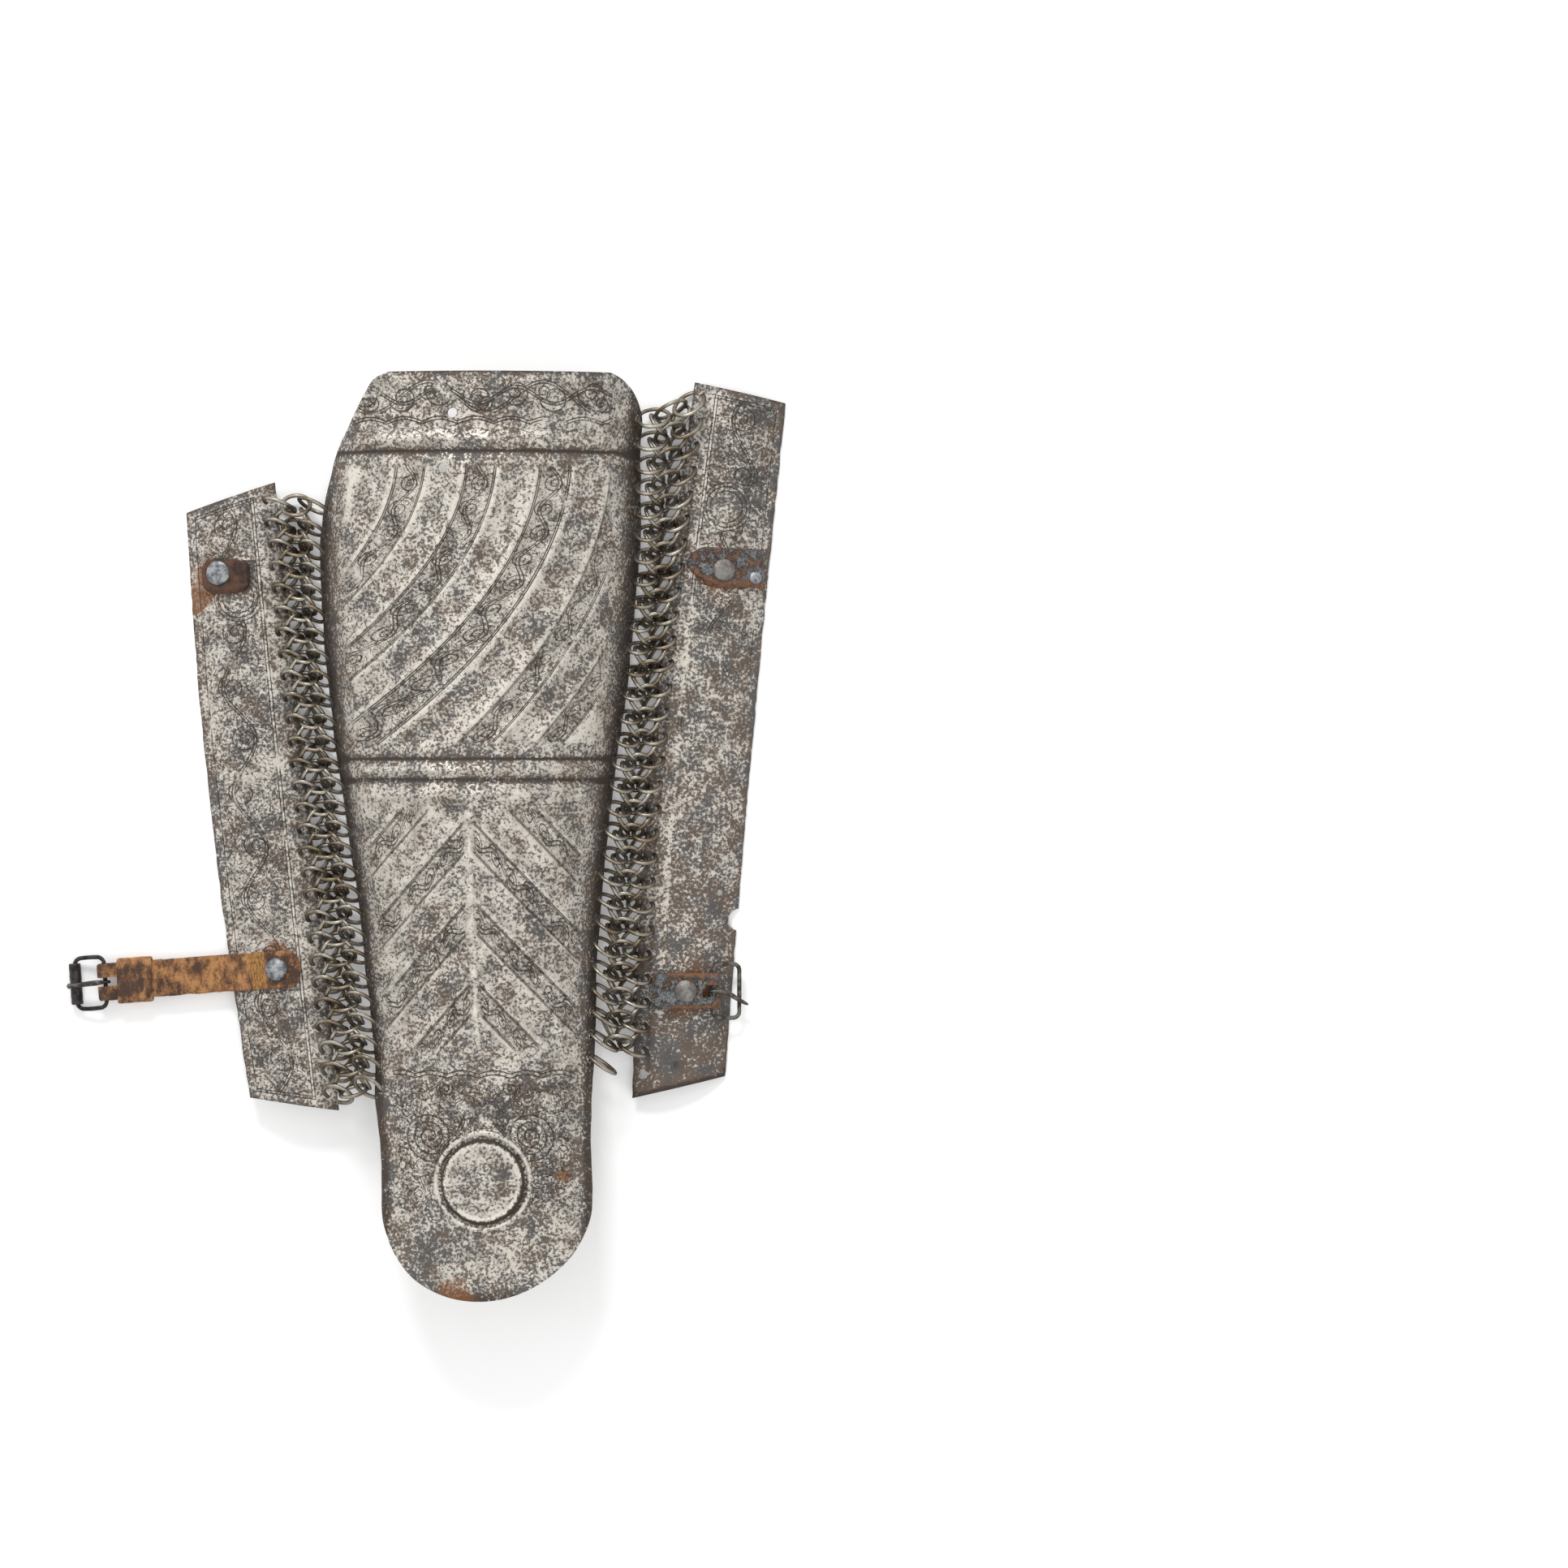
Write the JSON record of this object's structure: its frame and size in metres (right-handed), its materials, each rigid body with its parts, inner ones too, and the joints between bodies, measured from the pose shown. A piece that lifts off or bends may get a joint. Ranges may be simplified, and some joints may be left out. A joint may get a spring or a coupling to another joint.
{
  "type": "greave",
  "caption": "Fluted steel shin guard: embossed front plate with a boss, curved side plates hung on it by strips of mail, strap ends and buckles.",
  "frame": {"origin": "middle of the underside of the whole, on the surface that it lies on", "axes": "+Y up the shin towards the knee, +Z away from the shin bone, +X to the right as seen from the front"},
  "size_m": [0.298, 0.381, 0.0458],
  "materials": {
    "steel": "old mottled steel, engraved, brown in the low spots",
    "mail": "dull olive-brown iron rings, bright on top",
    "strap_leather": "orange-tan leather worn dark",
    "old_leather": "torn red-brown leather under blue-grey iron skin",
    "rivet_iron": "hammered blue-grey iron",
    "buckle_iron": "nearly black iron"
  },
  "bodies": {
    "greave": {"front_plate": "steel", "side_plate_left": "steel", "side_plate_right": "steel", "mail_left": "mail", "mail_right": "mail", "scrap_left": "old_leather", "scrap_left_rivet": "rivet_iron", "strap_left": "strap_leather", "strap_left_keeper": "strap_leather", "strap_left_stud": "rivet_iron", "patch_right": "old_leather", "patch_right_rivet": "rivet_iron", "patch_right_small_rivet": "rivet_iron", "tab_right": "old_leather", "tab_right_rivet": "rivet_iron"},
    "left_frame": {"buckle_left_frame": "buckle_iron"},
    "left_roller": {"buckle_left_roller": "buckle_iron"},
    "left_prong": {"buckle_left_prong": "buckle_iron"},
    "right_frame": {"buckle_right_frame": "buckle_iron"},
    "right_prong": {"buckle_right_prong": "buckle_iron"}
  },
  "joints": [
    {"name": "left_frame_hinge", "type": "hinge", "parent": "greave", "child": "left_frame", "pos_m": [-0.13318, -0.06079, 0.00547], "axis": [-0.0739, 0.9973, 0], "range_deg": [0, 60]},
    {"name": "left_roller_spin", "type": "hinge", "parent": "left_frame", "child": "left_roller", "pos_m": [-0.14561, -0.06171, 0.00307], "axis": [-0.0739, 0.9973, 0], "continuous": true},
    {"name": "left_prong_hinge", "type": "hinge", "parent": "left_frame", "child": "left_prong", "pos_m": [-0.13318, -0.06079, 0.00547], "axis": [-0.0739, 0.9973, 0], "range_deg": [0, 45]},
    {"name": "right_frame_hinge", "type": "hinge", "parent": "greave", "child": "right_frame", "pos_m": [0.11917, -0.06445, 0.00779], "axis": [0, -1, 0], "range_deg": [0, 60]},
    {"name": "right_prong_hinge", "type": "hinge", "parent": "right_frame", "child": "right_prong", "pos_m": [0.11917, -0.06445, 0.00779], "axis": [0, -1, 0], "range_deg": [0, 45]}
  ]
}
